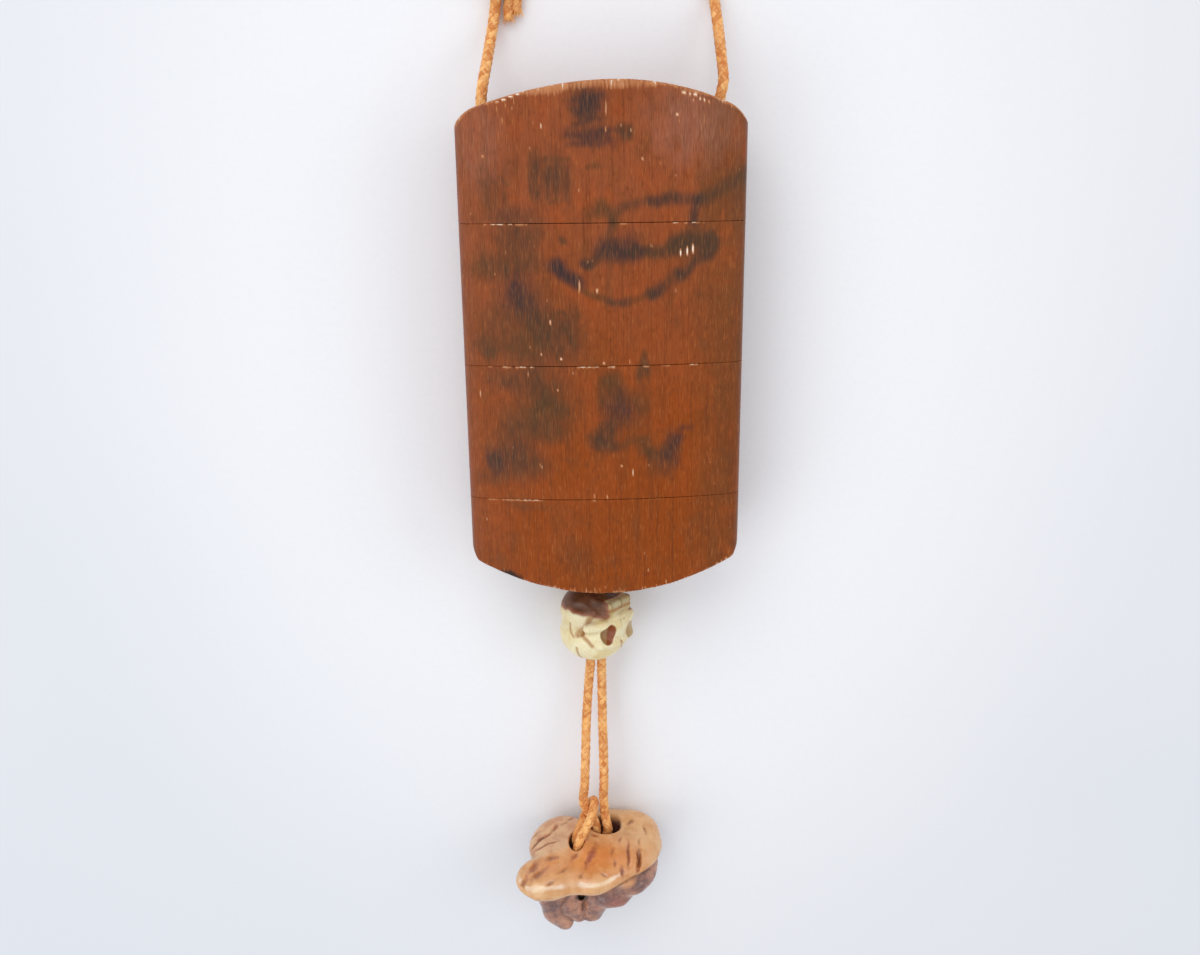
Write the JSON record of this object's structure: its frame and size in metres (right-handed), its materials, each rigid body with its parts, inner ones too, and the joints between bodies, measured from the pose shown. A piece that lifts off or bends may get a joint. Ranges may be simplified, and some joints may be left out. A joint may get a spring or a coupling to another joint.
{
  "type": "inro case with ojime bead and netsuke",
  "caption": "Wooden inro: hollow nesting cases with a lift-off lid, threaded on a silk cord with a skull-shaped bone bead and a mushroom-shaped toggle, lying on its back.",
  "frame": {"origin": "centre of the case's flat back, on the surface that the set lies on", "axes": "+Z out of the case's front face, +Y from the lid end to the base end where the cord's loop leaves, +X across the case"},
  "size_m": [0.056, 0.2545, 0.0249],
  "materials": {
    "lacquered_wood": "satin, brown, with ink drawing",
    "silk_cord": "braided, matt",
    "old_bone": "polished old bone with stained recesses",
    "stag_antler": "polished, amber with red-brown pits"
  },
  "bodies": {
    "root": {"case_bottom": "lacquered_wood", "case_middle": "lacquered_wood", "case_top": "lacquered_wood", "lid": "lacquered_wood", "ojime_bead": "old_bone", "netsuke_toggle": "stag_antler", "cord_tunnel_left": "silk_cord", "cord_tunnel_right": "silk_cord", "cord_lid_end_left": "silk_cord", "cord_lid_end_right": "silk_cord", "cord_bead_left": "silk_cord", "cord_bead_right": "silk_cord", "cord_strand_left": "silk_cord", "cord_strand_right": "silk_cord", "cord_hitch": "silk_cord", "cord_loop_left": "silk_cord", "cord_knot": "silk_cord", "cord_loop_right": "silk_cord"}
  },
  "joints": []
}
